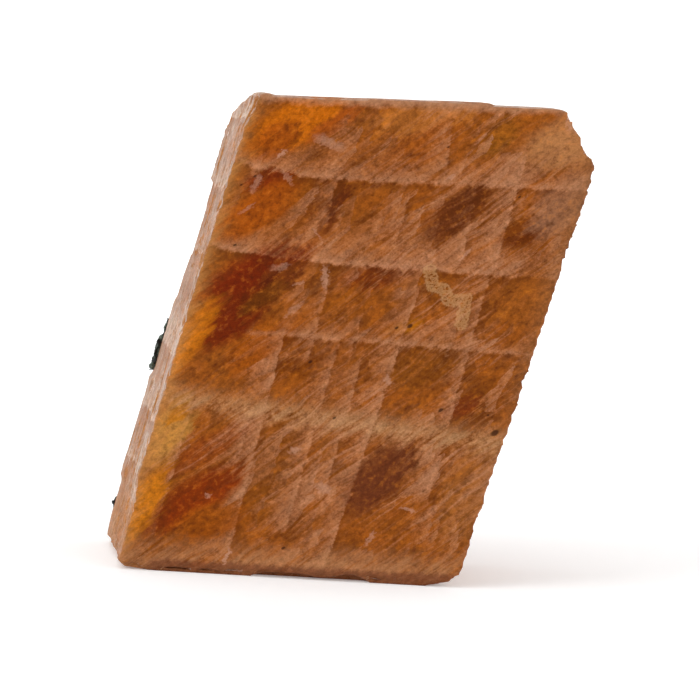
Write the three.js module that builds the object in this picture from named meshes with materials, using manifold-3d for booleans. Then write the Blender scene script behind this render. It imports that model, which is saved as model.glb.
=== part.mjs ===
// Rough orange calcite: a cleavage block that stands on its own base, with a crust of
// dark host mineral grown on its back left edge.
// Calcite parts along three planes. Every edge of the block therefore runs one of three
// ways, and a place in the block is given in millimetres along them: right along the
// front face, up the front face, and forward from the back face.
// The part's frame has +Z up, -Y towards the viewer of the large face, and its origin in
// the middle of the base, on the surface that the stone stands on.
import * as THREE from "three";
import { mergeVertices } from "three/addons/utils/BufferGeometryUtils.js";
import Module from "manifold-3d";

const wasm = await Module();
wasm.setup();

// Driving dimensions, in millimetres along the three edges, and degrees.
const WIDTH = 55.5;
const HEIGHT = 76.4;
const DEPTH = 32;
const EDGE_ANGLE = 78.1; // the sharp angle of a calcite cleavage face

// Where the left, bottom, back corner of the unbroken block stands in the part's frame.
const CORNER = new THREE.Vector3(-37.71, 6.52, 0);

const MERGE = 1e-4; // vertices nearer than this are one vertex
const LAP = 0.04; // how far each sheet runs into the one in front of it
const BEYOND = 6; // how far a cutter reaches past the stone
const CRUST_GAP = 0.3; // between the crust and the calcite under it

// Unit vectors along the three edges, at EDGE_ANGLE to each other as calcite has them.
const lean = Math.cos(THREE.MathUtils.degToRad(EDGE_ANGLE));
const RIGHT = new THREE.Vector3(1, 0, 0);
const FRONT = new THREE.Vector3(lean, -Math.sqrt(1 - lean ** 2), 0);
const upBack = (-lean - lean ** 2) / FRONT.y;
const UP = new THREE.Vector3(lean, upBack, Math.sqrt(1 - lean ** 2 - upBack ** 2));
const LATTICE = new THREE.Matrix4().makeBasis(RIGHT, UP, FRONT).setPosition(CORNER);

// The front face's outline, as [right, up] in millimetres, clockwise from its top left.
// The top and left are cleavage planes. The right side is a rough break that narrows
// downwards, the top right corner is broken off in small steps, and the base is chipped.
const TOP_EDGE = [
  [0, HEIGHT + 0.1],
  [2.3, HEIGHT + 0.3],
  [3.2, HEIGHT - 0.1],
  [36.3, HEIGHT + 0.2],
  [37.6, HEIGHT - 0.2],
  [47.1, HEIGHT - 0.2],
];
const BROKEN_CORNER = [
  [48.5, 75.9],
  [49.5, 74.6],
  [50.4, 73.6],
  [50.8, 72.4],
  [52.2, 71.5],
  [52.6, 69.8],
  [54.1, 68.5],
  [55.3, 66.9],
];
const RIGHT_EDGE = [
  [WIDTH, 64.8],
  [55.2, 60.3],
  [WIDTH + 0.5, 57.6],
  [WIDTH + 0.5, 51.7],
  [55, 44.8],
  [54.7, 38.4],
  [54.2, 34.4],
  [53.5, 31.4],
  [53.3, 26.5],
  [52.8, 22.6],
  [52.3, 15.1],
  [52.5, 12.3],
  [52, 10.8],
  [52.2, 3.8],
  [51.8, 2.2],
  [50.4, 0.9],
];
const CHIPPED_BASE_EDGE = [
  [47, 0],
  [38.3, 0],
  [36.8, 0.9],
  [34.9, 1.2],
  [32.6, 0.5],
  [30.6, 0.4],
  [28, 0.9],
  [22.4, 0.8],
  [20.8, 0],
  [5, 0],
  [1.4, 0.4],
  [0, 1.3],
];
// Behind the front sheet the base is one flat plane.
const BASE_EDGE = [
  [47, 0],
  [5, 0],
  [1.4, 0.4],
  [0, 1.3],
];
const SIDES = [...TOP_EDGE, ...BROKEN_CORNER, ...RIGHT_EDGE];
const FRONT_OUTLINE = [...SIDES, ...CHIPPED_BASE_EDGE];
const SHEET_OUTLINE = [...SIDES, ...BASE_EDGE];

// Sheets between parallel splits, from the front to the back of the block: how thick each
// is, and how far its left side, right side and top stand out past the front sheet's.
const SHEETS = [
  { thick: 2.6, left: 0, right: 0, top: 0 },
  { thick: 2.4, left: 0.25, right: -0.5, top: -0.1 },
  { thick: 3.4, left: 0.1, right: 0.3, top: 0.1 },
  { thick: 4.6, left: 0.4, right: -0.9, top: -0.3 },
  { thick: 3.6, left: 0.25, right: -1.6, top: 0 },
  { thick: 4.4, left: 0.55, right: -0.2, top: -0.6 },
  { thick: 5.6, left: 0.35, right: -1.2, top: -1 },
  { thick: 5.4, left: 0.5, right: -2.2, top: -1.4 },
];

// Ledges, where a slab has split off along all three planes: [from, to] along each edge.
const LEDGES = [
  // right side
  { right: [52.6, 60], up: [39, 58], front: [-1, 9.5] },
  { right: [51.4, 60], up: [16.5, 41], front: [-1, 6.2] },
  { right: [50.2, 60], up: [-1, 13.5], front: [-1, 15.8] },
  { right: [53.4, 60], up: [45.4, 52.5], front: [16.4, 24] },
  { right: [52.2, 60], up: [25, 37.5], front: [11.4, 19.6] },
  // back face, split down in wide steps
  { right: [31, 60], up: [-1, 34], front: [-1, 1.5] },
  { right: [40, 60], up: [-1, 22.5], front: [-1, 3.1] },
  { right: [11, 38], up: [58, 80], front: [-1, 1.1] },
  { right: [-1, 14], up: [49, 80], front: [-1, 2.2] },
  { right: [24.5, 60], up: [67, 80], front: [-1, 3.4] },
  { right: [-1, 9.5], up: [-1, 12], front: [-1, 1.3] },
  // top
  { right: [27, 60], up: [75.2, 80], front: [-1, 13.5] },
  { right: [38.5, 60], up: [73.3, 80], front: [-1, 8.6] },
  // left side, where single sheets have flaked
  { right: [-2, -0.1], up: [44, 57], front: [5.1, 10.9] },
  { right: [-2, -0.2], up: [41, 61.2], front: [-1, 5.3] },
  { right: [-2, 0.2], up: [-1, 6.5], front: [19.3, 29.1] },
  // front face, low steps beside the level cracks
  { right: [46.2, 60], up: [-1, 22.4], front: [31.75, 33] },
  { right: [-2, 60], up: [36.4, 50], front: [31.85, 33] },
];

// Flakes that stand out past the left face: their thickness, and their reach.
const FLAKES = [
  { out: 0.95, up: [11, 28], front: [0.4, 7.4] },
  { out: 0.8, up: [14, 25.5], front: [7.2, 13.2] },
  { out: 0.9, up: [61.5, 71], front: [2.2, 6.6] },
];

// Flat breaks across corners and edges, each a plane through three places in the block
// that takes off what lies on the side of the fourth.
const BREAKS = [
  { plane: [[0, 77, 31.5], [-1, 73.2, 0], [7.5, HEIGHT, -1]], side: [-2, 78, 0] },
  { plane: [[4.6, 1.8, 32], [20.4, 1.3, 32], [12, 0, 31.2]], side: [12, 0, 32.4] },
  { plane: [[37.6, 1.4, 32], [50, 1.8, 32], [44, 0, 31.2]], side: [44, 0, 32.4] },
  { plane: [[48, 77, 9], [56, 66, 12], [50, 72, -1]], side: [58, 78, 0] },
  { plane: [[46, -1, 0], [55, -1, 12], [54, 9, 0]], side: [57, -1, -1] },
  { plane: [[-1, 5, 1], [4.5, -1, 0.5], [-1, -1, 7]], side: [-2, -2, -2] },
  { plane: [[55, 60, 30.6], [54, 42, 31.4], [54.6, 52, 26]], side: [57, 52, 33] },
  { plane: [[0.4, 33, 32], [0.7, 60, 32.1], [0.1, 47, 31.3]], side: [-1, 47, 33] },
];

// Shell-shaped chips, each scooped by a rough ball: its middle in the block and its radius.
const SCOOPS = [
  // the broken top right corner
  { at: [53.4, 76.2, 29.5], radius: 4.1 },
  { at: [55.8, 72.2, 24.4], radius: 4.3 },
  { at: [51.2, 77.8, 20.5], radius: 4.6 },
  { at: [57.6, 69.4, 16.5], radius: 5 },
  { at: [54, 76.4, 11.5], radius: 5.6 },
  // the edges of the front face
  { at: [57.4, 62.6, 33.4], radius: 2.9 },
  { at: [57.2, 41, 34], radius: 3.6 },
  { at: [54.9, 20.4, 34.2], radius: 3.2 },
  { at: [34.6, -1.9, 33.8], radius: 3.3 },
  { at: [26.6, -1.7, 33.6], radius: 3.1 },
  { at: [38, 78.8, 34], radius: 3 },
  // the back edges and the base
  { at: [33, 79, -2], radius: 4.4 },
  { at: [20, -2.6, -2.2], radius: 4.6 },
  { at: [54.4, 30, -3], radius: 5.2 },
  { at: [-3, 62, -2.4], radius: 4 },
  { at: [56.4, 8, 27], radius: 5.4 },
  { at: [26, 76.4, -3.4], radius: 5 },
];

// Dark crust on the back left edge: lumps with their middle in the block, their half
// widths along its three edges, and a turn in degrees.
const CRUST_LUMPS = [
  { at: [0.2, 36.4, 0.1], half: [1.7, 2.2, 1.7], turn: 20 },
  { at: [0.6, 33, -0.6], half: [2.6, 3.2, 2.2], turn: 65 },
  { at: [-0.3, 30.2, 0.3], half: [1.9, 2.3, 1.7], turn: 110 },
  { at: [3.8, 34.6, -0.6], half: [3.4, 4, 1.8], turn: 35 },
  { at: [4.4, 30, -0.5], half: [3.2, 3.1, 1.6], turn: 80 },
  { at: [7.6, 32.2, -0.3], half: [2.7, 3, 1.3], turn: 140 },
];
// The small sliver of the same mineral low on that edge.
const SLIVER_LUMPS = [
  { at: [0.6, 6.6, -0.5], half: [2.1, 2, 1.3], turn: 40 },
  { at: [1.5, 8.6, -0.1], half: [1.6, 1.7, 1.3], turn: 95 },
];

function solidOf(geometry, matrix) {
  const bare = geometry.clone();
  bare.deleteAttribute("normal");
  bare.deleteAttribute("uv");
  bare.applyMatrix4(matrix);
  const merged = mergeVertices(bare, MERGE);
  return new wasm.Manifold(
    new wasm.Mesh({
      numProp: 3,
      vertProperties: merged.attributes.position.array,
      triVerts: new Uint32Array(merged.index.array),
    }),
  );
}

function place(right, up, front) {
  return new THREE.Vector3(right, up, front).applyMatrix4(LATTICE);
}

// A slab whose faces all lie along the block's three planes.
function slab(right, up, front) {
  const size = [right, up, front].map(([from, to]) => to - from);
  const middle = [right, up, front].map(([from, to]) => (from + to) / 2);
  const box = new THREE.BoxGeometry(...size).translate(...middle);
  return solidOf(box, LATTICE);
}

// One sheet of the block: its outline with the sides moved out or in, most at the very
// edge, and the top raised or lowered.
function sheet(outline, back, thick, { left, right, top }) {
  const shape = new THREE.Shape(
    outline.map(([along, up]) => {
      const side = along > WIDTH / 2 ? right : -left;
      const rise = up > HEIGHT / 2 ? top : 0;
      const nearSide = (2 * along) / WIDTH - 1;
      return new THREE.Vector2(along + side * nearSide ** 4, up + rise);
    }),
  );
  const prism = new THREE.ExtrudeGeometry(shape, { depth: thick, bevelEnabled: false });
  return solidOf(prism.translate(0, 0, back), LATTICE);
}

function sheetStack() {
  const [frontSheet, ...behind] = SHEETS;
  let back = DEPTH - frontSheet.thick;
  let stack = sheet(FRONT_OUTLINE, back, frontSheet.thick, frontSheet);
  for (const next of behind) {
    back -= next.thick;
    stack = stack.add(sheet(SHEET_OUTLINE, back, next.thick + LAP, next));
  }
  return stack;
}

// A large box with one face on the plane, reaching away from the stone.
function breakCutter({ plane, side }) {
  const [a, b, c] = plane.map((at) => place(...at));
  const face = new THREE.Plane().setFromCoplanarPoints(a, b, c);
  if (face.distanceToPoint(place(...side)) < 0) face.negate();
  const reach = 2 * HEIGHT;
  const turn = new THREE.Quaternion().setFromUnitVectors(
    new THREE.Vector3(0, 0, 1),
    face.normal,
  );
  const middle = a.clone().add(b).add(c).divideScalar(3);
  middle.addScaledVector(face.normal, reach / 2);
  const matrix = new THREE.Matrix4().compose(middle, turn, new THREE.Vector3(1, 1, 1));
  return solidOf(new THREE.BoxGeometry(reach, reach, reach), matrix);
}

function scoopCutter({ at, radius }, index) {
  const turn = new THREE.Quaternion().setFromEuler(new THREE.Euler(index, 2 * index, index / 2));
  const matrix = new THREE.Matrix4().compose(place(...at), turn, new THREE.Vector3(1, 1, 1));
  return solidOf(new THREE.IcosahedronGeometry(radius, 1), matrix);
}

function calciteBlock() {
  let stone = sheetStack();
  for (const { out, up, front } of FLAKES) {
    stone = stone.add(slab([-out, 1], up, front));
  }
  for (const { right, up, front } of LEDGES) {
    stone = stone.subtract(slab(right, up, front));
  }
  for (const cut of BREAKS) {
    stone = stone.subtract(breakCutter(cut));
  }
  SCOOPS.forEach((scoop, index) => {
    stone = stone.subtract(scoopCutter(scoop, index));
  });
  return stone;
}

// Rough lumps grown together, cut clear of the calcite that they grew on.
function crust(lumps) {
  let grown = null;
  for (const { at, half, turn } of lumps) {
    const lump = new THREE.IcosahedronGeometry(1, 1);
    lump.rotateY(THREE.MathUtils.degToRad(turn)).rotateX(THREE.MathUtils.degToRad(2 * turn));
    lump.scale(...half).translate(...at);
    const next = solidOf(lump, LATTICE);
    grown = grown ? grown.add(next) : next;
  }
  const leftFace = -Math.max(...SHEETS.map(({ left }) => left));
  const calcite = slab([leftFace - CRUST_GAP, WIDTH], [-BEYOND, HEIGHT], [-CRUST_GAP, DEPTH]);
  return grown.subtract(calcite);
}

function meshOf(name, solid, material) {
  const { vertProperties, triVerts } = solid.getMesh();
  const geometry = new THREE.BufferGeometry()
    .setAttribute("position", new THREE.BufferAttribute(vertProperties, 3))
    .setIndex(new THREE.BufferAttribute(triVerts, 1));
  geometry.computeVertexNormals();
  const mesh = new THREE.Mesh(geometry, material);
  mesh.name = name;
  return mesh;
}

const calcite = new THREE.MeshStandardMaterial({
  color: new THREE.Color(0.72, 0.42, 0.2),
  roughness: 0.45,
  metalness: 0,
});
const darkMineral = new THREE.MeshStandardMaterial({
  color: new THREE.Color(0.12, 0.14, 0.11),
  roughness: 0.7,
  metalness: 0,
});

const group = new THREE.Group();
group.add(meshOf("calcite_block", calciteBlock(), calcite));
group.add(meshOf("dark_crust", crust(CRUST_LUMPS), darkMineral));
group.add(meshOf("dark_sliver", crust(SLIVER_LUMPS), darkMineral));

export default group;
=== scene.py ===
"""Rough orange calcite standing on its base, dressed and lit in a plain pale studio.

Places in the stone are given in millimetres along its three cleavage edges, as in the
part's source: right along the large front face, up it, and forward from the back face.
"""

import math
from types import SimpleNamespace

import bpy
import numpy as np
from mathutils import Matrix, Vector


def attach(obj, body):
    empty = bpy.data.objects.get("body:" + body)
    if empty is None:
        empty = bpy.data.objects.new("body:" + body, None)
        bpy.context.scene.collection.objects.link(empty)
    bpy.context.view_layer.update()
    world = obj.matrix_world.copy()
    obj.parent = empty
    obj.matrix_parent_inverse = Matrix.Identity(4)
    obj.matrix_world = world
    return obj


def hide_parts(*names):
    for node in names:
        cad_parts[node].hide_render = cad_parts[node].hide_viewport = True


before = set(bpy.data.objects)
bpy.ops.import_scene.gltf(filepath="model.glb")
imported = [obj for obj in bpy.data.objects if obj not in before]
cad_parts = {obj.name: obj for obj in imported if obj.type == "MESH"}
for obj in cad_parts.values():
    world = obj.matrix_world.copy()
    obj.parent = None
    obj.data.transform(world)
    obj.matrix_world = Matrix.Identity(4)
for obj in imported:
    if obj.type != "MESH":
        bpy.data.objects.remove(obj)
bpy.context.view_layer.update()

MM = 0.001

# The cleavage frame, with the part's own values.
EDGE_ANGLE = math.radians(78.1)
CORNER = np.array([-37.71, 6.52, 0.0])
LEAN = math.cos(EDGE_ANGLE)
RIGHT = np.array([1.0, 0.0, 0.0])
FRONT = np.array([LEAN, -math.sqrt(1 - LEAN**2), 0.0])
UP_BACK = (-LEAN - LEAN**2) / FRONT[1]
UP = np.array([LEAN, UP_BACK, math.sqrt(1 - LEAN**2 - UP_BACK**2)])
EDGES = np.column_stack([RIGHT, UP, FRONT])
PLACES = np.linalg.inv(EDGES)  # rows give right, up and forward from a point
NORMALS = PLACES / np.linalg.norm(PLACES, axis=1)[:, None]  # of the three cleavage planes

# Fineness of the surface meshes, in millimetres.
STONE_VOXEL = 0.46
CRUST_VOXEL = 0.2

# The dark mineral's two places on the back left edge: height and reach.
CRUST_SEATS = [(36.0, 9.0), (8.0, 6.0)]

# How far the front edge of the left side is carried to the left, in millimetres.
FRONT_LIP = 0.8

# How far each dark piece is carried to the right, to sit against the stone.
CRUST_INWARD = 0.35

# Depths of the stone's low relief, in millimetres.
SHEET_STEP = 0.24
FLAKE_STEP = 0.45
LEDGE_STEP = 1.2
BLOCK_STEP = 1.2
BACK_STEP = 0.9
TOP_STEP = 0.22
CHIP_DEPTH = 0.75
BACK_CHIP_DEPTH = 0.8
CORNER_DEPTH = 0.45

# The right side's blocks: size forward and up, and how far each column is shifted up.
BLOCK_WIDTH = 2.7
BLOCK_HEIGHT = 5.3
COLUMN_SHIFT = 0.37


def smoothstep(x, low, high):
    """0 at low, 1 at high, smooth between; low may be above high."""
    t = np.clip((x - low) / (high - low), 0, 1)
    return t * t * (3 - 2 * t)


class Field:
    """Smooth random values in space, the same in every run."""

    SIZE = 48

    def __init__(self, seed):
        self.grid = np.random.default_rng(seed).random((self.SIZE,) * 3)

    def at(self, x, y, z):
        p = np.stack(np.broadcast_arrays(x, y, z), axis=-1)
        cell = np.floor(p).astype(int)
        w = p - cell
        w = w * w * (3 - 2 * w)
        total = 0.0
        for corner in np.ndindex(2, 2, 2):
            i, j, k = ((cell + corner) % self.SIZE).T
            weight = np.prod(np.where(corner, w, 1 - w), axis=-1)
            total = total + weight * self.grid[i, j, k]
        return total

    def layered(self, x, y, z, octaves=4):
        total, size, most = 0.0, 1.0, 0.0
        for octave in range(octaves):
            step = 2.03**octave
            total = total + size * self.at(x * step + 5 * octave, y * step, z * step)
            most += size
            size *= 0.5
        return total / most


def fine_copy(node, name, voxel):
    """A finely and evenly meshed copy of a node, as a new object."""
    piece = bpy.data.objects.new(name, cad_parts[node].data.copy())
    bpy.context.scene.collection.objects.link(piece)
    remesh = piece.modifiers.new("even", "REMESH")
    remesh.mode = "VOXEL"
    remesh.voxel_size = voxel * MM
    graph = bpy.context.evaluated_depsgraph_get()
    even = bpy.data.meshes.new_from_object(piece.evaluated_get(graph))
    piece.modifiers.clear()
    piece.data = even
    even.materials.clear()
    even.name = name
    return piece


def read_points(mesh):
    points = np.empty(len(mesh.vertices) * 3)
    mesh.vertices.foreach_get("co", points)
    return points.reshape(-1, 3) / MM


def read_normals(mesh):
    normals = np.empty(len(mesh.vertices) * 3)
    mesh.vertices.foreach_get("normal", normals)
    return normals.reshape(-1, 3)


def write_points(mesh, points):
    mesh.vertices.foreach_set("co", (points * MM).ravel())
    mesh.update()


def relax(mesh, points, rounds, share=0.5):
    """Evens out the steps that the remesh leaves along edges, and rounds the edges a little."""
    pairs = np.empty(len(mesh.edges) * 2, dtype=int)
    mesh.edges.foreach_get("vertices", pairs)
    one, other = pairs.reshape(-1, 2).T
    count = np.bincount(pairs, minlength=len(points))[:, None]
    for _ in range(rounds):
        total = np.zeros_like(points)
        np.add.at(total, one, points[other])
        np.add.at(total, other, points[one])
        points = points + share * (total / count - points)
    return points


def terraces(field, x, y, z, levels):
    """Random values in level steps."""
    return np.floor(levels * field.layered(x, y, z, 2)) / levels


def left_relief(up, front, steps):
    """Edges of thin sheets, long in the up direction."""
    sheets = steps.layered(front / 0.9, up / 17, 0.5, 2)
    flakes = terraces(steps, front / 5, up / 9, 7.5, 5)
    return SHEET_STEP * smoothstep(sheets, 0.4, 0.6) + FLAKE_STEP * flakes


def right_relief(up, front, behind, steps, hackly):
    """A rough break: blocky ledges along the cleavage, with hackly grain."""
    ledges = terraces(steps, front / 6, up / 9, 2.2, 7)
    columns = np.floor(front / BLOCK_WIDTH)
    rows = np.floor(up / BLOCK_HEIGHT + columns * COLUMN_SHIFT)
    blocks = terraces(steps, columns * 0.6, rows * 0.55, 6.1, 6)
    return LEDGE_STEP * ledges + 0.2 * hackly + behind * (BLOCK_STEP * blocks + 0.15 * hackly)


def back_relief(right, up, steps, waves):
    """A cleavage face in wide low steps whose sides follow the other two planes."""
    tread = terraces(steps, right / 15, up / 60, 9.1, 6)
    riser = terraces(steps, right / 48, up / 13, 4.4, 6)
    return BACK_STEP * np.maximum(tread, riser) + 0.12 * waves.layered(right / 4, up / 4, 8.0, 2)


def top_relief(right, front, steps, waves):
    """Cleavage too, with the sheets' edges across it."""
    sheets = steps.layered(front / 1.2, right / 26, 3.3, 2)
    low = waves.layered(right / 5, front / 5, 5.0, 2)
    return TOP_STEP * smoothstep(sheets, 0.4, 0.6) + 0.15 * low


def edge_relief(points, front, chips):
    """Edges are bruised in short chips, deeper along the back."""
    bruises = chips.layered(*(points / 2.6).T, 3)
    depth = 0.15 + CHIP_DEPTH * smoothstep(bruises, 0.5, 0.8)
    on_back_edge = smoothstep(front, 6, 2)
    return depth + BACK_CHIP_DEPTH * on_back_edge * smoothstep(bruises, 0.45, 0.75)


def clear_of_crust(right, up, front):
    """0 under the dark mineral, where the stone is left full so that it sits on it, else 1."""
    seat = np.zeros_like(right)
    for at_up, reach in CRUST_SEATS:
        seat = np.maximum(seat, smoothstep(np.hypot(right - 3, up - at_up), reach + 4, reach))
    return 1 - seat * smoothstep(front, 12, 6)


def stone_relief(points, normals):
    """How far each point of the stone's surface lies below the flat, in millimetres."""
    right, up, front = PLACES @ (points - CORNER).T
    facing = NORMALS @ normals.T
    waves, steps, chips, grain = (Field(seed) for seed in (11, 23, 37, 53))

    on_front = smoothstep(facing[2], 0.75, 0.96)
    on_back = smoothstep(-facing[2], 0.75, 0.96)
    on_left = smoothstep(-facing[0], 0.7, 0.95)
    on_right = smoothstep(facing[0], 0.6, 0.9)
    on_top = smoothstep(facing[1], 0.7, 0.95)
    on_base = smoothstep(-facing[1], 0.8, 0.97)
    on_edge = 1 - np.max([on_front, on_back, on_left, on_right, on_top, on_base], axis=0)

    # The front is a nearly flat cleavage face.
    front_depth = 0.10 * waves.layered(right / 9, up / 9, 3.0, 2)
    hackly = grain.layered(*(points / 1.1).T, 2)
    behind = smoothstep(front, 31, 25)
    clear = clear_of_crust(right, up, front)
    left_depth = left_relief(up, front, steps) * clear
    right_depth = right_relief(up, front, behind, steps, hackly)
    back_depth = back_relief(right, up, steps, waves) * clear
    top_depth = top_relief(right, front, steps, waves)
    edge_depth = edge_relief(points, front, chips) * clear

    depth = on_front * front_depth + on_left * left_depth + on_right * right_depth
    depth = depth + on_back * back_depth + on_top * top_depth + on_edge * edge_depth
    # Behind the front, an edge goes down with the faces that meet in it.
    meeting = np.array([smoothstep(way, 0.25, 0.85) for way in (-facing[2], -facing[0], facing[0])])
    shared = (meeting * np.array([back_depth, left_depth, right_depth])).sum(axis=0)
    depth = depth + on_edge * behind * shared / np.maximum(meeting.sum(axis=0), 0.6)
    # The broken top right corner is hackly all over.
    corner = smoothstep(right, 47, 51) * smoothstep(up, 63, 69) * (1 - on_front)
    return depth + CORNER_DEPTH * corner * hackly


def make_stone():
    piece = fine_copy("calcite_block", "calcite_surface", STONE_VOXEL)
    mesh = piece.data
    points = relax(mesh, read_points(mesh), 2)
    write_points(mesh, points)
    normals = read_normals(mesh)
    points = points - normals * stone_relief(points, normals)[:, None]
    right, up, front = PLACES @ (points - CORNER).T
    # The front sheets reach a little further left than the ones behind.
    lip = smoothstep(front, 14, 31) * smoothstep(right, 6, 0.5)
    lip = lip * smoothstep(up, 8, 15) * smoothstep(up, 75, 70)
    points = points - (FRONT_LIP * lip)[:, None] * RIGHT
    points[:, 2] = np.maximum(points[:, 2], 0)
    write_points(mesh, points)
    mesh.shade_smooth()
    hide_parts("calcite_block")
    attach(piece, "root")
    return piece


def make_crust(node, name, seed, forward):
    """Granular dark mineral, moved forward to seat it against the stone."""
    piece = fine_copy(node, name, CRUST_VOXEL)
    mesh = piece.data
    points = relax(mesh, read_points(mesh), 1)
    write_points(mesh, points)
    normals = read_normals(mesh)
    lumps = Field(seed)
    coarse = lumps.layered(*(points / 1.1).T, 2)
    fine = lumps.layered(*(points / 0.4).T, 2)
    depth = 0.7 * smoothstep(coarse, 0.3, 0.75) + 0.25 * fine
    points = points - normals * depth[:, None]
    points = points + CRUST_INWARD * RIGHT + forward * FRONT
    points[:, 2] = np.maximum(points[:, 2], 0)
    write_points(mesh, points)
    mesh.shade_smooth()
    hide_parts(node)
    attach(piece, "root")
    return piece


# Materials. Colours are given as the eye sees them, 0 to 255.


def ink(red, green, blue):
    channels = [c / 255 for c in (red, green, blue)]
    return [c / 12.92 if c <= 0.04045 else ((c + 0.055) / 1.055) ** 2.4 for c in channels] + [1.0]


class Num:
    """A value in a material's node tree, with arithmetic."""

    def __init__(self, graph, socket):
        self.graph = graph
        self.socket = socket

    def _math(self, op, *others):
        return self.graph.math(op, self, *others)

    def __add__(self, other):
        return self._math("ADD", other)

    def __radd__(self, other):
        return self._math("ADD", other)

    def __sub__(self, other):
        return self._math("SUBTRACT", other)

    def __rsub__(self, other):
        return self.graph.math("SUBTRACT", other, self)

    def __mul__(self, other):
        return self._math("MULTIPLY", other)

    def __rmul__(self, other):
        return self._math("MULTIPLY", other)

    def __truediv__(self, other):
        return self._math("DIVIDE", other)

    def __abs__(self):
        return self._math("ABSOLUTE")

    def most(self, other):
        return self._math("MAXIMUM", other)

    def least(self, other):
        return self._math("MINIMUM", other)

    def square(self):
        return self._math("MULTIPLY", self)

    def fall(self):
        """exp(-x)"""
        return self.graph.math("EXPONENT", self * -1.0)

    def step(self, low, high):
        """0 below low, 1 above high, smooth between. With low above high it falls instead."""
        return self.graph.map(self, low, high)


class Graph:
    """Builds one material's node tree."""

    def __init__(self, name):
        self.material = bpy.data.materials.new(name)
        self.material.use_nodes = True
        self.tree = self.material.node_tree
        self.tree.nodes.clear()

    def node(self, kind, settings=None, **inputs):
        made = self.tree.nodes.new(kind)
        for key, value in (settings or {}).items():
            setattr(made, key, value)
        for key, value in inputs.items():
            self.feed(made.inputs[key.replace("_", " ")], value)
        return made

    def feed(self, socket, value):
        if isinstance(value, Num):
            value = value.socket
        if isinstance(value, bpy.types.NodeSocket):
            self.tree.links.new(value, socket)
        else:
            socket.default_value = value

    def math(self, op, *values):
        made = self.tree.nodes.new("ShaderNodeMath")
        made.operation = op
        for socket, value in zip(made.inputs, values):
            self.feed(socket, value)
        return Num(self, made.outputs[0])

    def map(self, value, low, high):
        settings = {"interpolation_type": "SMOOTHSTEP"}
        made = self.node("ShaderNodeMapRange", settings, Value=value)
        made.inputs["From Min"].default_value = min(low, high)
        made.inputs["From Max"].default_value = max(low, high)
        made.inputs["To Min"].default_value = 0.0 if low < high else 1.0
        made.inputs["To Max"].default_value = 1.0 if low < high else 0.0
        return Num(self, made.outputs[0])

    def vector(self, x, y, z):
        return self.node("ShaderNodeCombineXYZ", X=x, Y=y, Z=z).outputs[0]

    def along(self, vector, direction):
        """Dot product with a fixed direction."""
        made = self.tree.nodes.new("ShaderNodeVectorMath")
        made.operation = "DOT_PRODUCT"
        self.feed(made.inputs[0], vector)
        made.inputs[1].default_value = tuple(float(c) for c in direction)
        return Num(self, made.outputs["Value"])

    def noise(self, x, y, z, detail=2.0, roughness=0.5, distortion=0.0):
        made = self.node("ShaderNodeTexNoise", Vector=self.vector(x, y, z), Scale=1.0)
        made.inputs["Detail"].default_value = detail
        made.inputs["Roughness"].default_value = roughness
        made.inputs["Distortion"].default_value = distortion
        return Num(self, made.outputs[0])

    def cells(self, x, y, z):
        """Random cells with straight sides: two random values of the cell that a point is
        in, and the point's distance from the cell's middle along x and y."""
        settings = {"distance": "CHEBYCHEV", "feature": "F1"}
        made = self.node("ShaderNodeTexVoronoi", settings, Vector=self.vector(x, y, z), Scale=1.0)
        tints = self.node("ShaderNodeSeparateColor", Color=made.outputs["Color"]).outputs
        middle = self.node("ShaderNodeSeparateXYZ", Vector=made.outputs["Position"]).outputs
        offsets = x - Num(self, middle[0]), y - Num(self, middle[1])
        return Num(self, tints[0]), Num(self, tints[1]), *offsets

    def blend(self, share, under, over):
        made = self.tree.nodes.new("ShaderNodeMix")
        made.data_type = "RGBA"
        self.feed(made.inputs[0], share)
        self.feed(made.inputs[6], under)
        self.feed(made.inputs[7], over)
        return made.outputs[2]

    def oval(self, x, y, middle, half, turn):
        """Squared distance from an oval's middle, 1 on its outline, turned by degrees."""
        cos, sin = math.cos(math.radians(turn)), math.sin(math.radians(turn))
        distances = []
        for size, (dx, dy) in zip(half, ((cos, sin), (-sin, cos))):
            start = -(middle[0] * dx + middle[1] * dy) / size
            partly = self.math("MULTIPLY_ADD", x, dx / size, start)
            distances.append(self.math("MULTIPLY_ADD", y, dy / size, partly))
        first, second = distances
        return self.math("MULTIPLY_ADD", first, first, second.square())

    def shaded(self, colour, factor):
        made = self.tree.nodes.new("ShaderNodeMix")
        made.data_type = "RGBA"
        made.blend_type = "MULTIPLY"
        made.inputs[0].default_value = 1.0
        self.feed(made.inputs[6], colour)
        grey = self.node("ShaderNodeCombineColor", Red=factor, Green=factor, Blue=factor)
        self.feed(made.inputs[7], grey.outputs[0])
        return made.outputs[2]

    def bump(self, height, distance, strength, under=None):
        made = self.node("ShaderNodeBump", Height=height)
        made.inputs["Strength"].default_value = strength
        made.inputs["Distance"].default_value = distance
        if under is not None:
            self.feed(made.inputs["Normal"], under)
        return made.outputs[0]

    def finish(self, **inputs):
        shader = self.node("ShaderNodeBsdfPrincipled", **inputs)
        output = self.node("ShaderNodeOutputMaterial")
        self.tree.links.new(shader.outputs[0], output.inputs[0])
        return shader


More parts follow.
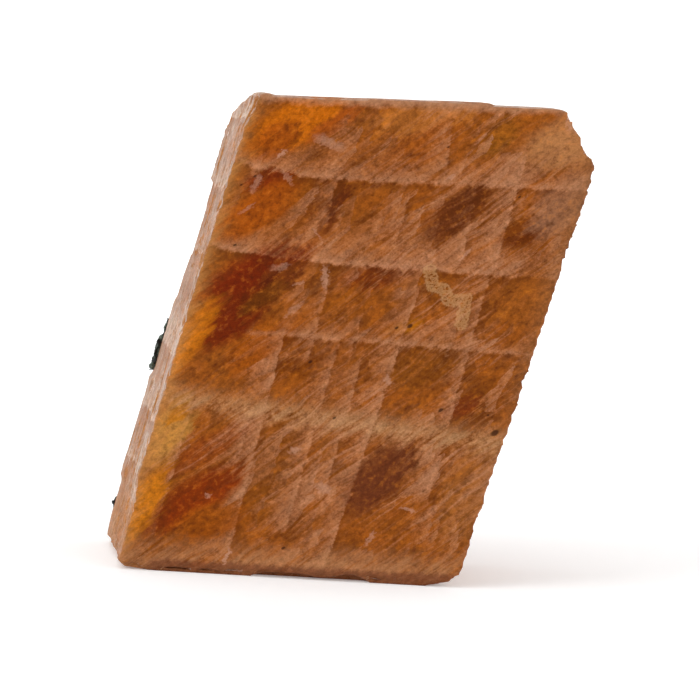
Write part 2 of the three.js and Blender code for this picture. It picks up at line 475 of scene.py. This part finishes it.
# Colour zones of the front face: middle right and up, half widths, turn, colour, strength.
ZONES = [
    ((7.6, 71.8), (7.0, 3.1), 36, (190, 98, 2), 1.0),  # bright amber under the top left
    ((5.6, 68.8), (3.0, 2.2), 60, (166, 76, 2), 0.9),
    ((13.8, 72.0), (3.4, 1.2), 45, (158, 74, 14), 0.9),
    ((21.4, 72.0), (3.4, 0.9), 88, (160, 86, 16), 0.8),
    ((27.0, 73.4), (6.0, 1.9), 8, (188, 112, 44), 0.85),
    ((27.6, 68.2), (5.0, 2.4), 40, (148, 74, 14), 0.85),
    ((39.4, 71.2), (3.0, 1.9), 70, (134, 76, 12), 0.85),
    ((50.6, 70.8), (6.0, 3.6), 20, (178, 120, 72), 0.9),
    ((6.4, 62.2), (2.8, 1.7), 5, (126, 42, 0), 1.0),  # red cell under the first level split
    ((12.6, 60.4), (5.2, 2.9), 30, (120, 58, 4), 0.9),
    ((5.6, 57.4), (5.6, 2.5), 42, (158, 74, 4), 0.95),
    ((17.4, 57.8), (3.6, 1.0), 78, (98, 40, 6), 0.95),
    ((29.4, 57.6), (4.8, 2.8), 40, (132, 66, 10), 0.8),
    ((36.0, 58.4), (4.8, 2.4), 58, (98, 44, 8), 0.95),  # dark cells to the right
    ((41.6, 58.2), (3.2, 2.0), 60, (120, 60, 12), 0.85),
    ((47.2, 56.0), (3.4, 1.7), 28, (102, 44, 2), 1.0),
    ((51.4, 60.4), (4.4, 3.2), 60, (146, 98, 68), 0.85),
    ((8.4, 47.0), (6.8, 3.3), 34, (114, 32, 0), 1.0),  # saturated red
    ((12.6, 46.8), (2.8, 1.7), 20, (84, 26, 2), 0.85),
    ((7.2, 40.0), (4.8, 2.6), 45, (110, 34, 0), 1.0),
    ((10.4, 43.4), (3.2, 1.2), 40, (106, 56, 4), 0.8),
    ((1.2, 36.8), (5.2, 2.0), 70, (198, 110, 6), 0.95),  # amber along the left
    ((12.4, 36.0), (4.6, 2.6), 42, (152, 74, 4), 0.9),
    ((18.8, 34.4), (3.4, 2.6), 70, (130, 64, 4), 0.9),
    ((23.4, 44.4), (4.0, 2.6), 45, (140, 72, 8), 0.85),
    ((26.6, 48.0), (4.8, 1.7), 15, (116, 48, 4), 0.9),
    ((33.2, 40.0), (1.5, 1.2), 30, (168, 96, 2), 0.85),  # yellow spot
    ((37.4, 34.2), (4.8, 3.0), 20, (128, 68, 8), 0.8),
    ((50.2, 45.6), (4.2, 4.0), 30, (142, 76, 18), 0.95),
    ((44.8, 27.8), (2.2, 1.2), 30, (122, 50, 10), 0.85),
    ((2.2, 21.6), (4.6, 2.2), 80, (192, 136, 62), 0.9),
    ((3.0, 24.6), (1.9, 1.0), 35, (184, 112, 18), 0.95),
    ((8.8, 19.4), (5.0, 1.7), 40, (144, 66, 12), 0.9),
    ((9.0, 11.4), (6.2, 2.7), 40, (132, 48, 0), 1.0),
    ((12.8, 8.4), (4.8, 2.2), 18, (154, 76, 4), 0.95),
    ((1.6, 10.0), (5.4, 1.9), 76, (194, 112, 10), 0.95),
    ((19.4, 17.0), (7.0, 2.8), 86, (124, 64, 6), 0.9),
    ((26.2, 20.6), (6.0, 1.4), 86, (128, 70, 22), 0.7),
    ((35.6, 16.4), (5.4, 3.2), 55, (104, 50, 22), 0.95),  # rosy brown, low on the right
    ((49.4, 15.6), (7.4, 3.2), 84, (152, 90, 38), 0.85),
]

# Where fine parallel streaks are dense: middle right and up, half widths, turn, strength.
COMBED = [
    ((9.0, 18.0), (11.0, 5.5), 42, 1.0),
    ((3.0, 46.0), (5.0, 2.0), 45, 0.7),
    ((26.0, 20.0), (13.0, 9.0), 70, 0.6),
    ((45.0, 16.0), (13.0, 9.0), 60, 0.6),
    ((36.0, 58.0), (14.0, 6.0), 35, 0.5),
    ((37.0, 40.0), (12.0, 6.0), 35, 0.5),
]

# Splits seen through the front face that run across it: the height that each settles at,
# how much higher its left end is and over what length, its start, and its haze's reach.
LEVEL_SPLITS = [
    dict(up=63.1, rise=2.5, over=5.5, slope=0.0, start=-2, reach=2.4, pale=1.2),
    dict(up=49.8, rise=1.9, over=9.0, slope=-0.018, start=-2, reach=2.2, pale=1.5),
    dict(up=38.4, rise=0.0, over=1.0, slope=-0.034, start=14, reach=1.3, pale=1.0),
]

# How far apart the level splits cross the left side.
SIDE_SPLITS = 12.3

# The pale band below the level splits: height at its left end, slope and half width.
WIDE_BAND = dict(up=27.5, slope=-0.095, half=1.7)

# Splits that run up it: place along right at the foot of the face, lean, the stretch that
# each covers, and its haze's reach to the left.
STEEP_SPLITS = [
    dict(right=4.6, lean=0.0, low=5, high=27, reach=1.3, pale=0.9),
    dict(right=16.5, lean=-0.03, low=1.5, high=38.5, reach=1.9, pale=1.2),
    dict(right=13.8, lean=0.0, low=17, high=26, reach=0.9, pale=0.8),
    dict(right=23.9, lean=0.0, low=7, high=37.5, reach=1.5, pale=0.9),
    dict(right=28.1, lean=0.0, low=12, high=34, reach=1.5, pale=1.0),
    dict(right=31.1, lean=0.06, low=1, high=31.5, reach=1.9, pale=1.6),
    dict(right=31.2, lean=0.052, low=32, high=46.5, reach=1.3, pale=1.3),
    dict(right=43.6, lean=0.0, low=12, high=49, reach=1.4, pale=0.9),
    dict(right=44.1, lean=0.0, low=50, high=69, reach=1.6, pale=1.2),
    dict(right=42.1, lean=-0.066, low=50, high=63, reach=1.6, pale=1.1),
    dict(right=21.6, lean=-0.083, low=55, high=63, reach=1.5, pale=0.9),
    dict(right=41.0, lean=-0.128, low=64, high=73, reach=1.5, pale=0.8),
    dict(right=38.0, lean=0.0, low=18, high=24.5, reach=1.0, pale=0.9),
    dict(right=46.4, lean=0.0, low=5, high=12, reach=1.0, pale=0.8),
    dict(right=19.9, lean=0.0, low=34, high=48, reach=1.2, pale=0.7),
    dict(right=26.2, lean=0.0, low=35, high=42, reach=1.0, pale=0.7),
    dict(right=28.2, lean=0.0, low=52, high=62, reach=1.2, pale=0.6),
]

# Whitish bruises on the front face: middle right and up, half widths, turn, strength.
BRUISES = [
    ((13.8, 68.8), (2.8, 0.8), -22, 0.8),
    ((4.4, 61.7), (1.5, 0.6), 78, 0.8),
    ((8.8, 63.0), (1.7, 0.4), -48, 0.7),
    ((6.9, 66.7), (0.9, 0.4), 50, 1.3),
    ((4.1, 57.6), (1.3, 0.35), 42, 0.7),
    ((15.8, 54.2), (1.5, 0.25), -42, 0.7),
    ((19.0, 47.2), (2.0, 0.5), -72, 1.2),
    ((11.8, 48.6), (1.5, 0.6), 15, 0.7),
    ((15.2, 46.0), (1.0, 0.35), 40, 0.8),
    ((15.6, 41.8), (1.6, 0.5), 45, 0.7),
    ((32.8, 31.4), (0.9, 0.5), -30, 1.1),
    ((21.9, 19.8), (0.9, 0.6), 20, 1.1),
    ((10.8, 12.1), (0.5, 0.45), 0, 0.9),
    ((16.3, 3.0), (1.3, 0.3), 84, 1.5),
    ((41.2, 11.6), (1.3, 0.35), -10, 1.1),
    ((36.7, 7.0), (1.2, 0.4), 70, 0.9),
    ((27.6, 14.3), (1.7, 0.6), -25, 0.9),
    ((39.1, 51.9), (1.1, 0.3), 55, 1.0),
    ((33.6, 64.0), (0.9, 0.4), 30, 0.9),
    ((49.4, 73.4), (1.2, 0.5), -40, 0.9),
]

# Dark pits: middle right and up, and half width.
PITS = [
    (20.4, 33.8, 0.22),
    (33.8, 40.2, 0.28),
    (31.9, 39.8, 0.2),
    (24.3, 4.7, 0.2),
    (3.9, 62.9, 0.18),
    (2.2, 61.4, 0.14),
    (3.9, 51.7, 0.18),
    (41.9, 27.3, 0.24),
    (49.1, 26.9, 0.14),
    (50.8, 24.2, 0.42),
    (26.4, 25.2, 0.18),
    (32.0, 69.0, 0.14),
    (44.8, 61.5, 0.16),
]

# Zones at least this strong keep the haze off.
RICH = 0.95

# The beige etched mark below the second level split.
MARK = [(34.4, 49.2), (35.6, 46.6), (37.3, 46.3), (38.6, 44.4), (41.0, 44.9), (41.4, 40.8)]


def stone_places(graph):
    """Right, up and forward in millimetres, and how far the surface faces each of them."""
    point = graph.node("ShaderNodeTexCoord").outputs["Object"]
    offset = PLACES @ CORNER
    places = [graph.along(point, PLACES[i] / MM) - float(offset[i]) for i in range(3)]
    normal = graph.node("ShaderNodeNewGeometry").outputs["True Normal"]
    facing = [graph.along(normal, NORMALS[i]) for i in range(3)]
    return places, facing


def stone_fields(g):
    """Places, facings and random fields that the stone's colours share."""
    (right, up, front), (face_right, face_up, face_front) = stone_places(g)
    across = right - up
    along = (right + up) * 0.5
    side = abs(face_front).step(0.9, 0.55)
    on_front = face_front.step(0.9, 0.97)
    forward = front.step(6, 26)

    # Streaks run along the face's long diagonal.
    wander = g.noise(right * 0.5, up * 0.5, front * 0.5, 3.0, 0.6)
    bend = g.noise(right * 0.12, up * 0.12, front * 0.12, 1.0)
    lined = across + (bend - 0.5) * 3.0 + (wander - 0.5) * 0.6
    streak = g.noise(lined * 0.8, along * 0.12, front * 0.2, 4.0, 0.65)
    comb = g.noise(lined * 1.5, along * 0.1, front * 0.3, 1.0, 0.4)
    broad = g.noise(lined * 0.27, along * 0.06, front * 0.12, 2.0, 0.55)
    crumb = g.noise(right * 1.0, up * 1.0, front * 1.0, 3.0, 0.62)
    grain = g.noise(right * 3.2, up * 3.2, front * 3.2, 3.0, 0.75)
    cloud = g.noise(right * 0.16, up * 0.16, front * 0.16, 3.0, 0.55, 0.6)
    return SimpleNamespace(
        right=right,
        up=up,
        front=front,
        across=across,
        along=along,
        side=side,
        on_front=on_front,
        forward=forward,
        wander=wander,
        streak=streak,
        comb=comb,
        broad=broad,
        crumb=crumb,
        grain=grain,
        cloud=cloud,
        face_right=face_right,
        face_up=face_up,
        face_front=face_front,
        lined=lined,
    )


def body_colour(g, f):
    """Body colour, in zones whose edges are ragged along the streaks, and how far a point
    lies in the strong zones, which keep the haze off."""
    right, up, forward, wander = f.right, f.up, f.forward, f.wander
    streak, crumb, cloud = f.streak, f.crumb, f.cloud
    colour = g.blend(cloud.step(0.36, 0.64), ink(128, 66, 12), ink(156, 82, 18))
    slide = (streak - 0.5) * 5.0
    warped_right = right + slide + (wander - 0.5) * 3.0
    warped_up = up + slide + (crumb - 0.5) * 2.0
    rich = None
    for middle, half, turn, tint, strength in ZONES:
        share = g.oval(warped_right, warped_up, middle, half, turn).step(2.5, 0.5)
        share = share * forward * strength
        colour = g.blend(share, colour, ink(*tint))
        if strength >= RICH:
            rich = share if rich is None else rich.most(share)
    return colour, rich


def add_shards(g, f, colour):
    """Shards between splits and streaks, each with its own tone. Their haze, which comes
    later, is densest towards the right edge, so their random values are returned too."""
    right, front, wander, lined = f.right, f.front, f.wander, f.lined
    cells = g.cells(right * 0.15 + (wander - 0.5) * 0.3, lined * 0.2, front * 0.09)
    tone, depth, slip, _ = cells
    small = g.cells(right * 0.3 + (wander - 0.5) * 0.5, lined * 0.48, front * 0.2)
    tone_2, depth_2, slip_2, _ = small
    shade = (tone - 0.55).most(0.0) * 0.7 + (tone_2 - 0.6).most(0.0) * 0.5
    colour = g.blend(shade, colour, ink(84, 36, 2))
    colour = g.blend((0.4 - tone_2).most(0.0) * 0.5, colour, ink(186, 104, 28))
    return colour, (slip, depth, slip_2, depth_2)


def add_crumbs(g, f, colour):
    """Crumbs inside the stone."""
    crumb = f.crumb
    colour = g.blend((0.5 - crumb).most(0.0) * 2.0, colour, ink(90, 36, 0))
    colour = g.blend((crumb - 0.54).most(0.0) * 1.6, colour, ink(196, 112, 30))
    return colour


def loose_haze(g, f, shards):
    """Haze in threads along the streaks and in veils in the shards."""
    slip, depth, slip_2, depth_2 = shards
    right, up, streak, comb, broad = f.right, f.up, f.streak, f.comb, f.broad
    cloud = f.cloud
    combed = None
    for middle, half, turn, strength in COMBED:
        share = g.oval(right, up, middle, half, turn).step(1.6, 0.2) * strength
        combed = share if combed is None else combed.most(share)
    threads = (1.0 - abs(streak - 0.52) * 15.0).most(0.0) * broad.step(0.38, 0.6) * 0.7
    teeth = (comb - 0.48).most(0.0) * 6.5 * combed
    veil = (slip * 1.6 + 0.3).most(0.0) * depth.step(0.45, 0.95) * 0.9
    veil_2 = (slip_2 * 1.6 + 0.25).most(0.0) * depth_2.step(0.5, 0.95) * 0.8
    dusty = (0.66 + (right - 27.0) * 0.01 + (cloud - 0.5) * 1.3).most(0.1)
    haze = (threads + teeth + veil + veil_2) * dusty
    return haze


def add_level_split(split, f, rag, wobble, haze, dark):
    """Haze that fades upwards from a split that runs across the face, dark under it."""
    right, up = f.right, f.up
    height = (right / split["over"]).fall() * split["rise"] + right * split["slope"]
    above = up - height - split["up"] + wobble
    begun = right.step(split["start"] - 1, split["start"] + 2)
    reach = (rag * 0.6 + split["reach"]).most(0.35)
    fade = (above / reach).most(0.0).fall() * above.step(-0.3, 0.4) * begun
    haze = haze + (fade + (above * 2.8).square().fall() * 0.5) * split["pale"]
    below = above.step(0.0, -0.5) * above.step(-2.2, -0.2) * begun
    dark = below * 0.4 + dark
    return haze, dark


def add_steep_split(split, f, rag, wobble, haze, dark):
    """Haze that fades to the left of a split that runs up the face, dark beyond it."""
    right, up = f.right, f.up
    left = up * split["lean"] + split["right"] - right + wobble
    span = (up + rag).step(split["low"] - 1, split["low"] + 2)
    span = span * (up + rag).step(split["high"] + 1, split["high"] - 2)
    reach = (rag * 0.5 + split["reach"]).most(0.3)
    fade = (left / reach).most(0.0).fall() * left.step(-0.25, 0.2) * span
    haze = haze + fade * split["pale"]
    beyond = left.step(0.1, -0.2) * left.step(-1.5, 0.0) * span
    dark = beyond * 0.35 + dark
    return haze, dark


def wide_band(f, rag, wobble):
    """The pale band that crosses the face below the level splits."""
    right, up = f.right, f.up
    band = right * WIDE_BAND["slope"] + WIDE_BAND["up"]
    away = abs(up - band + rag * 1.1 + wobble) / WIDE_BAND["half"]
    band = away.square().fall()
    return band


def add_haze(g, f, colour, rich, shards):
    """All the haze inside the stone, with the dark beside the splits and the pale band."""
    wander, streak, crumb, grain = f.wander, f.streak, f.crumb, f.grain
    rag = (streak - 0.5) * 3.0 + (crumb - 0.5) * 1.6
    haze = loose_haze(g, f, shards)
    dark = 0.0
    wobble = (wander - 0.5) * 0.9 + (crumb - 0.5) * 0.6
    for split in LEVEL_SPLITS:
        haze, dark = add_level_split(split, f, rag, wobble, haze, dark)
    for split in STEEP_SPLITS:
        haze, dark = add_steep_split(split, f, rag, wobble, haze, dark)
    band = wide_band(f, rag, wobble)
    haze = haze * (1.0 - rich * 0.8)
    powder = (0.25 + crumb * 0.7 + (grain - 0.5) * 1.1 + (streak - 0.45) * 2.2).most(0.12)
    share = (0.9 - (haze * powder * 1.5).fall()).most(0.0) * 1.12
    colour = g.blend(dark * (0.6 + crumb * 0.4), colour, ink(78, 30, 2))
    tint = g.blend(share, ink(150, 90, 50), ink(184, 128, 92))
    colour = g.blend(share * 0.84, colour, tint)
    band = band * (crumb * 0.9 + (streak - 0.5) * 2.2 + (grain - 0.5) * 0.8 + 0.1)
    colour = g.blend(band.least(0.85), colour, ink(178, 130, 88))
    return colour


def add_margins(g, f, colour):
    """Margins of the front face: amber to cream on the left, the cream partly a painted glow of
    light through the thin edge; beige on the other sides; and painted shade, a dark band along the
    base."""
    right, up, wander, streak, crumb = f.right, f.up, f.wander, f.streak, f.crumb
    # Left margin: the amber turns paler towards the edge, partly a painted glow of light through
    # the thin edge.
    edge = (right + 0.8 + (crumb - 0.5) * 1.4 + (streak - 0.5) * 5.0).most(0.0)
    colour = g.blend((edge / 1.9).square().fall() * 0.75, colour, ink(186, 126, 66))
    colour = g.blend(right.step(49.5, 55.5) * 0.5, colour, ink(150, 100, 62))
    under = (up + (wander - 0.5) * 4).step(6.5, 1.0) * ((streak - 0.5) * 4.0 + crumb * 0.9 + 0.3)
    colour = g.blend(under.most(0.0).least(0.85), colour, ink(170, 116, 76))
    # Painted shade: a dark band along the foot of the front face, where the stone meets the floor.
    base = (up + (wander - 0.5) * 1.6).step(2.4, 1.5) * right.step(4.0, 6.0)
    colour = g.blend(base * 0.7, colour, ink(112, 60, 36))
    colour = g.blend((up + (wander - 0.5) * 2).step(74.4, 76.2) * 0.75, colour, ink(178, 130, 98))
    return colour


def add_bruises(g, f, colour, close):
    """Whitish bruises on the front face."""
    right, up, on_front, crumb = f.right, f.up, f.on_front, f.crumb
    grain = f.grain
    near_right, near_up = right + (close - 0.5) * 2.2, up + (crumb - 0.5) * 2.2
    bruise = None
    for middle, half, turn, strength in BRUISES:
        mark = g.oval(near_right, near_up, middle, half, turn).step(1.7, 0.0) * strength
        bruise = mark if bruise is None else bruise.most(mark)
    bruise = bruise * (grain * 1.5 - 0.1).most(0.1) * on_front * 0.75
    colour = g.blend(bruise.least(0.7), colour, ink(192, 142, 114))
    return colour


def add_pits(g, f, colour):
    """Dark pits in the front face."""
    right, up, on_front = f.right, f.up, f.on_front
    pit = None
    for at_right, at_up, size in PITS:
        mark = g.oval(right, up, (at_right, at_up), (size * 1.4, size), 35).step(1.8, 0.4)
        pit = mark if pit is None else pit.most(mark)
    pit = pit * on_front
    colour = g.blend(pit * 0.8, colour, ink(48, 22, 8))
    return colour


def add_mark(g, f, colour, close):
    """The beige etched mark: a web of fine lines round a crooked path."""
    right, up, on_front = f.right, f.up, f.on_front
    scribble = None
    for (r0, u0), (r1, u1) in zip(MARK, MARK[1:]):
        dr, du = r1 - r0, u1 - u0
        length = dr * dr + du * du
        part = ((right - r0) * (dr / length) + (up - u0) * (du / length)).most(0.0).least(1.0)
        gap = (right - r0 - part * dr).square() + (up - u0 - part * du).square()
        scribble = gap if scribble is None else scribble.least(gap)
    ring = g.math("SQRT", scribble) - 0.75 + (close - 0.5) * 1.5
    web = (ring * 6.0).square().fall() * 0.9
    strands = (1.0 - abs(close - 0.5) * 9.0).most(0.0)
    inside = scribble.step(1.1, 0.3) * strands
    web = (web * scribble.step(2.2, 0.8)).most(inside)
    colour = g.blend(web * on_front * 0.62, colour, ink(196, 148, 98))
    return colour


def frosted(g, f):
    """Frost of the split sides, in facets. The sheets' edges cross each facet as short
    lines, and haze lies over the level splits."""
    right, up, front, wander, crumb = f.right, f.up, f.front, f.wander, f.crumb
    cells = g.cells(front * 0.16 + wander * 0.4, up * 0.09 + right * 0.09, 5.0)
    facet, window, drift, _ = cells
    shaken = front + (wander - 0.5) * 1.1 + (crumb - 0.5) * 0.4 + facet * 6.0
    layers = g.noise(shaken * 0.8, up * 0.15 + right * 0.15, 2.0, 3.0, 0.65)
    hair = g.noise(shaken * 3.0, up * 0.25 + right * 0.25, 7.0, 3.0, 0.6)
    pale = layers * 1.2 + front * 0.02 - 0.5
    frost = g.blend(pale, ink(160, 120, 94), ink(206, 186, 174))
    frost = g.blend(hair.step(0.54, 0.7) * 0.35, frost, ink(132, 92, 66))
    frost = g.blend(hair.step(0.44, 0.3) * drift.step(-0.1, 0.2), frost, ink(226, 214, 208))
    clear = window.step(0.35, 0.75) * (wander - 0.2)
    frost = g.blend(clear, frost, ink(166, 92, 34))
    uneven = g.noise(up * 0.11, 6.0, 2.0, 1.0) * 26.0
    above = g.math("MODULO", up + uneven + wander * 1.6, SIDE_SPLITS)
    mist = (above / 2.4).fall() * above.step(0.0, 0.4) * (wander * 2.4 - 0.55)
    frost = g.blend(mist.most(0.0).least(1.0), frost, ink(212, 188, 170))
    frost = g.blend(above.step(SIDE_SPLITS - 3.0, SIDE_SPLITS) * 0.3, frost, ink(140, 86, 50))
    return frost, facet, layers, hair


def add_frost(g, f, colour, frost, layers, grit):
    """Frost on the left side and the top, thinner towards the foot of the left side."""
    up, side, wander, crumb = f.up, f.side, f.wander, f.crumb
    face_right, face_up = f.face_right, f.face_up
    left_side = face_right.step(-0.35, -0.75)
    top_side = face_up.step(0.6, 0.9)
    share = side * (left_side + top_side * 0.75).least(1.0) * (1.05 + (crumb - 0.5) * 1.2)
    foot = up + (wander - 0.5) * 14 + (layers - 0.5) * 24
    frost_up = foot.step(-2.0, 24.0) * 0.75 + 0.25
    share = share * (1.0 - left_side * (1.0 - frost_up))
    colour = g.blend(share.least(0.92).most(0.0), colour, g.shaded(frost, grit))
    return colour


def add_break(g, f, colour, facet):
    """The broken right side is sugary in some facets and clear orange in others."""
    side, wander, crumb, grain = f.side, f.wander, f.crumb, f.grain
    cloud, face_right = f.cloud, f.face_right
    sugar = g.blend(facet * 0.45 + wander * 1.6 - 0.5, ink(166, 98, 50), ink(198, 150, 114))
    sugar = g.blend((0.5 - crumb * 0.6 - grain * 0.4).most(0.0) * 4.0, sugar, ink(138, 74, 30))
    right_side = side * face_right.step(0.3, 0.7) * (0.6 + (wander - 0.5) * 1.6 + (cloud - 0.5))
    colour = g.blend(right_side.least(0.85).most(0.0), colour, sugar)
    return colour


def add_back_and_edge(g, f, colour):
    """Patches of frost on the back, and a bright line down the front left edge, frost with a
    painted highlight.
    """
    right, up, front, broad, wander = f.right, f.up, f.front, f.broad, f.wander
    face_front = f.face_front
    # The back is frosted in patches.
    back = face_front.step(-0.7, -0.9) * (broad * 0.5 + wander * 0.5).step(0.42, 0.6)
    colour = g.blend(back * 0.5, colour, ink(176, 128, 98))
    # A bright line along the front left edge: frosted wear, with a painted highlight on it.
    wear_and_highlight = (abs(right + 0.9) * 2.6).square().fall() * front.step(30.6, 31.6) * up.step(12.0, 17.0)
    colour = g.blend(wear_and_highlight * 0.75, colour, ink(214, 200, 192))
    return colour


def stone_bump(g, f, layers, hair):
    """Fine relief: scratches along the streaks, the sheets' edges, and grain."""
    across, along, front, comb = f.across, f.along, f.front, f.comb
    grain = f.grain
    scratches = comb * 0.5 + g.noise(across * 5.0, along * 0.16, front * 0.5, 1.0) * 0.5
    lines = g.bump(scratches, 0.00012, 0.3)
    edges = g.bump(layers * 0.5 + hair * 0.5, 0.0003, 0.6, lines)
    normal = g.bump(grain, 0.00008, 0.3, edges)
    return normal


def stone_material():
    g = Graph("calcite")
    f = stone_fields(g)
    colour, rich = body_colour(g, f)
    colour, shards = add_shards(g, f, colour)
    colour = add_crumbs(g, f, colour)
    colour = add_haze(g, f, colour, rich, shards)
    colour = add_margins(g, f, colour)
    # Crumbs and grain close under the surface.
    grit = (f.crumb - 0.5) * 0.9 + (f.grain - 0.5) * 1.0 + (f.comb - 0.5) * 0.25 + 1.0
    colour = g.shaded(colour, grit)
    close = g.noise(f.right * 1.5, f.up * 1.5, 4.0, 3.0, 0.7)
    colour = add_bruises(g, f, colour, close)
    colour = add_pits(g, f, colour)
    colour = add_mark(g, f, colour, close)
    frost, facet, layers, hair = frosted(g, f)
    colour = add_frost(g, f, colour, frost, layers, grit)
    colour = add_break(g, f, colour, facet)
    colour = add_back_and_edge(g, f, colour)
    normal = stone_bump(g, f, layers, hair)
    rough = (f.comb - 0.5) * 0.25 + f.side * 0.12 + 0.46
    shader = g.finish(Base_Color=colour, Roughness=rough, Normal=normal)
    shader.inputs["IOR"].default_value = 1.52
    shader.inputs["Specular IOR Level"].default_value = 0.07
    shader.inputs["Subsurface Weight"].default_value = 0.12
    shader.inputs["Subsurface Radius"].default_value = (1.0, 0.4, 0.15)
    shader.inputs["Subsurface Scale"].default_value = 0.0004
    return g.material


def crust_material():
    g = Graph("dark_mineral")
    point = g.node("ShaderNodeTexCoord").outputs["Object"]
    x, y, z = (g.along(point, axis / MM) for axis in np.eye(3))
    lumps = g.noise(x * 0.55, y * 0.55, z * 0.55, 2.0)
    grain = g.noise(x * 3.0, y * 3.0, z * 3.0, 3.0, 0.7)
    colour = g.blend(lumps.step(0.42, 0.58), ink(26, 30, 27), ink(86, 100, 86))
    colour = g.blend(grain.step(0.55, 0.75) * lumps.step(0.4, 0.6), colour, ink(160, 168, 150))
    colour = g.blend(grain.step(0.45, 0.3) * 0.8, colour, ink(14, 16, 15))
    normal = g.bump(grain, 0.0003, 0.7)
    g.finish(Base_Color=colour, Roughness=grain * 0.3 + 0.4, Normal=normal)
    return g.material


def paper_material():
    """White paper, faintly lit through from behind so that it stays even."""
    g = Graph("studio_paper")
    shader = g.finish(Base_Color=ink(246, 246, 246), Roughness=0.9)
    shader.inputs["Emission Color"].default_value = (1.0, 1.0, 1.0, 1.0)
    shader.inputs["Emission Strength"].default_value = 0.22
    return g.material


# Studio, in metres.

FLOOR_REACH = 2.4
FLOOR_RISE = 1.8
FLOOR_BEND = 0.7
BEND_STEPS = 12
FLOOR_SIDES = 96
STONE_MIDDLE = (0.0, 0.0, 0.036)

# The middle of the block, in the cleavage frame, and the camera's place round it.
BLOCK_MIDDLE = np.array([27.5, 38.6, 16.0])
CAMERA_ASIDE = math.radians(5.0)
CAMERA_ABOVE = math.radians(4.0)
CAMERA_ROLL = math.radians(2.555)
CAMERA_DISTANCE = 456.53
CAMERA_RIGHT = -0.496
CAMERA_UP = -3.598


def floor_profile():
    """Radius and height from the middle of the floor to its raised rim."""
    profile = [(0.4, 0.0), (FLOOR_REACH - FLOOR_BEND, 0.0)]
    for i in range(1, BEND_STEPS + 1):
        angle = math.pi / 2 * i / BEND_STEPS
        radius = FLOOR_REACH - FLOOR_BEND + FLOOR_BEND * math.sin(angle)
        profile.append((radius, FLOOR_BEND - FLOOR_BEND * math.cos(angle)))
    return [*profile, (FLOOR_REACH, FLOOR_RISE)]


def make_floor():
    """A pale floor that curves up all round the stone."""
    profile, sides = floor_profile(), FLOOR_SIDES
    points = [(0.0, 0.0, 0.0)]
    for radius, height in profile:
        for j in range(sides):
            angle = 2 * math.pi * j / sides
            points.append((radius * math.cos(angle), radius * math.sin(angle), height))
    faces = [(0, 1 + j, 1 + (j + 1) % sides) for j in range(sides)]
    for i in range(len(profile) - 1):
        low, high = 1 + i * sides, 1 + (i + 1) * sides
        for j in range(sides):
            after = (j + 1) % sides
            faces.append((low + j, high + j, high + after, low + after))
    mesh = bpy.data.meshes.new("studio_floor")
    mesh.from_pydata(points, [], faces)
    mesh.shade_smooth()
    mesh.materials.append(paper_material())
    floor = bpy.data.objects.new("studio_floor", mesh)
    bpy.context.scene.collection.objects.link(floor)


def soft_light(name, place, size, power, target=STONE_MIDDLE):
    lamp = bpy.data.lights.new(name, "AREA")
    lamp.shape = "RECTANGLE"
    lamp.size, lamp.size_y = size
    lamp.energy = power
    light = bpy.data.objects.new(name, lamp)
    light.location = place
    aim = Vector(target) - Vector(place)
    light.rotation_euler = aim.to_track_quat("-Z", "Y").to_euler()
    bpy.context.scene.collection.objects.link(light)


def light_studio():
    soft_light("key_light", (-0.75, -0.45, 0.65), (0.6, 0.6), 3.3)
    soft_light("fill_light", (0.8, -0.45, 0.4), (0.7, 0.7), 1.6)
    soft_light("top_light", (0.0, 0.1, 1.0), (0.8, 0.8), 2.8)
    soft_light("paper_light", (0.0, 0.5, 1.2), (1.6, 0.5), 20.0, (0.0, 2.0, 0.5))
    world = bpy.data.worlds.new("studio")
    world.use_nodes = True
    background = world.node_tree.nodes["Background"]
    background.inputs["Color"].default_value = (1.0, 1.0, 1.0, 1.0)
    background.inputs["Strength"].default_value = 0.28
    bpy.context.scene.world = world
    bpy.context.scene.view_settings.view_transform = "Standard"


def make_camera():
    """Looks at the front face from a little to its right and a little above."""
    aside, above, roll = CAMERA_ASIDE, CAMERA_ABOVE, CAMERA_ROLL
    middle = CORNER + EDGES @ BLOCK_MIDDLE
    back = np.array([
        math.sin(aside) * math.cos(above),
        -math.cos(aside) * math.cos(above),
        math.sin(above),
    ])
    level = np.array([math.cos(aside), math.sin(aside), 0.0])
    rising = np.cross(back, level)
    image_right = level * math.cos(roll) + rising * math.sin(roll)
    image_up = rising * math.cos(roll) - level * math.sin(roll)
    place = middle + back * CAMERA_DISTANCE + image_right * CAMERA_RIGHT + image_up * CAMERA_UP
    lens = bpy.data.cameras.new("camera")
    lens.lens = 150
    lens.sensor_width = 36
    camera = bpy.data.objects.new("camera", lens)
    matrix = Matrix([image_right, image_up, back]).transposed().to_4x4()
    matrix.translation = Vector(place * MM)
    camera.matrix_world = matrix
    bpy.context.scene.collection.objects.link(camera)
    bpy.context.scene.camera = camera


stone = make_stone()
stone.data.materials.append(stone_material())
dark = crust_material()
make_crust("dark_crust", "crust_surface", 5, 0.45).data.materials.append(dark)
make_crust("dark_sliver", "sliver_surface", 8, 1.7).data.materials.append(dark)

make_floor()
light_studio()
make_camera()
